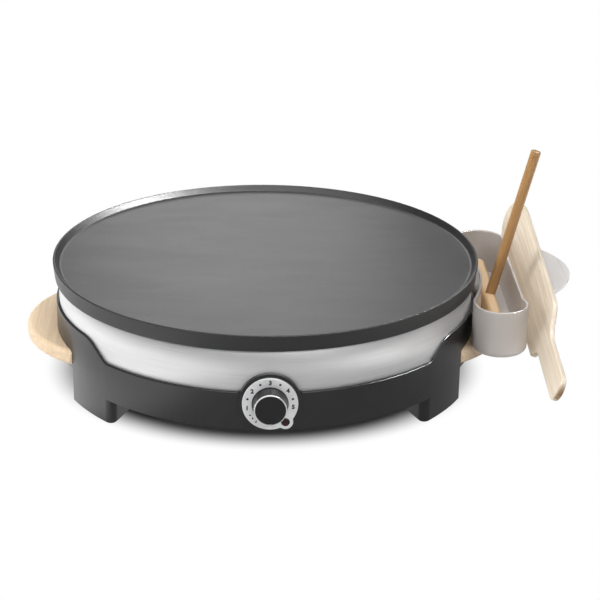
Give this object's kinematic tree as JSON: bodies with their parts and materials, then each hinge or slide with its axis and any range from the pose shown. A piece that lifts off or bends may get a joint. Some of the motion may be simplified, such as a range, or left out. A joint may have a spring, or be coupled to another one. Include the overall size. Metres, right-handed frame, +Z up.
{
  "type": "electric crepe maker",
  "caption": "Round electric crepe maker: coated griddle plate on a drum with four legs, dial thermostat, wooden handles and a clip-on holder with spreader and spatula.",
  "frame": {"origin": "on the table plane, under the middle of the cooking plate", "axes": "+Z up, +X towards the handle that carries the accessory holder, -Y towards the dial"},
  "size_m": [0.5145, 0.4205, 0.2139],
  "materials": {
    "plate_coating": "matt non-stick coating",
    "element_sheath": "heat-darkened sheath",
    "brass": "bare",
    "ceramic": "unglazed ceramic",
    "zinc_steel": "zinc plated",
    "copper": "bare copper",
    "bright_aluminium": "bright",
    "mineral_wool": "felted",
    "brushed_band": "brushed round the drum",
    "housing_plastic": "satin",
    "handle_wood": "sanded and oiled",
    "switch_plastic": "moulded",
    "ring_silver": "satin silver",
    "knob_plastic": "satin gloss",
    "lens_red": "clear dark red",
    "gland_rubber": "moulded",
    "holder_plastic": "semi-gloss",
    "tab_plastic": "fine satin",
    "spreader_wood": "sanded",
    "stick_wood": "sanded dowel",
    "spatula_wood": "sanded",
    "pad_rubber": "soft",
    "lead_sleeve": "woven glass sleeve",
    "earth_sleeve": "woven glass sleeve"
  },
  "bodies": {
    "base": {"base_housing": "housing_plastic", "capillary_sensor": "copper", "cooking_plate": "plate_coating", "cord_gland": "gland_rubber", "cutout_lead": "lead_sleeve", "dial_ring": "ring_silver", "drum_floor": "zinc_steel", "earth_lead": "earth_sleeve", "earth_tag": "brass", "element_clamps": "zinc_steel", "element_lead": "lead_sleeve", "element_pins": "brass", "floor_screws": "zinc_steel", "foot_pad_front_left": "pad_rubber", "foot_pad_front_right": "pad_rubber", "foot_pad_rear_left": "pad_rubber", "foot_pad_rear_right": "pad_rubber", "gland_nut": "switch_plastic", "handle_screws": "zinc_steel", "heat_reflector": "bright_aluminium", "heating_element": "element_sheath", "insulation_blanket": "mineral_wool", "lamp_leads": "lead_sleeve", "left_handle": "handle_wood", "live_lead": "lead_sleeve", "neutral_lead": "lead_sleeve", "pilot_lamp": "switch_plastic", "pilot_lens": "lens_red", "plate_bolts": "zinc_steel", "plate_posts": "zinc_steel", "plate_screws": "zinc_steel", "right_handle": "handle_wood", "sensor_clip": "zinc_steel", "steel_band": "brushed_band", "terminal_beads": "ceramic", "terminal_block": "switch_plastic", "terminal_screws": "brass", "thermal_cutout": "ceramic", "thermostat_body": "switch_plastic", "thermostat_nut": "brass"},
    "knob": {"thermostat_knob": "knob_plastic", "thermostat_spindle": "zinc_steel"},
    "holder": {"accessory_holder": "holder_plastic", "holder_tab": "tab_plastic"},
    "spreader": {"spreader_bar": "spreader_wood", "spreader_stick": "stick_wood"},
    "spatula": {"crepe_spatula": "spatula_wood"}
  },
  "joints": [
    {"name": "knob_turn", "type": "hinge", "parent": "base", "child": "knob", "pos_m": [0, -0.2055, 0.0495], "axis": [0, 1, 0], "range_deg": [0, 280]},
    {"name": "holder_slide", "type": "slide", "parent": "base", "child": "holder", "axis": [1, 0, 0], "range_m": [0, 0.04]},
    {"name": "spreader_lift", "type": "slide", "parent": "holder", "child": "spreader", "axis": [0, 0, 1], "range_m": [0, 0.06]},
    {"name": "spatula_lift", "type": "slide", "parent": "holder", "child": "spatula", "axis": [0.3764, -0.0968, 0.9214], "range_m": [0, 0.06]}
  ]
}
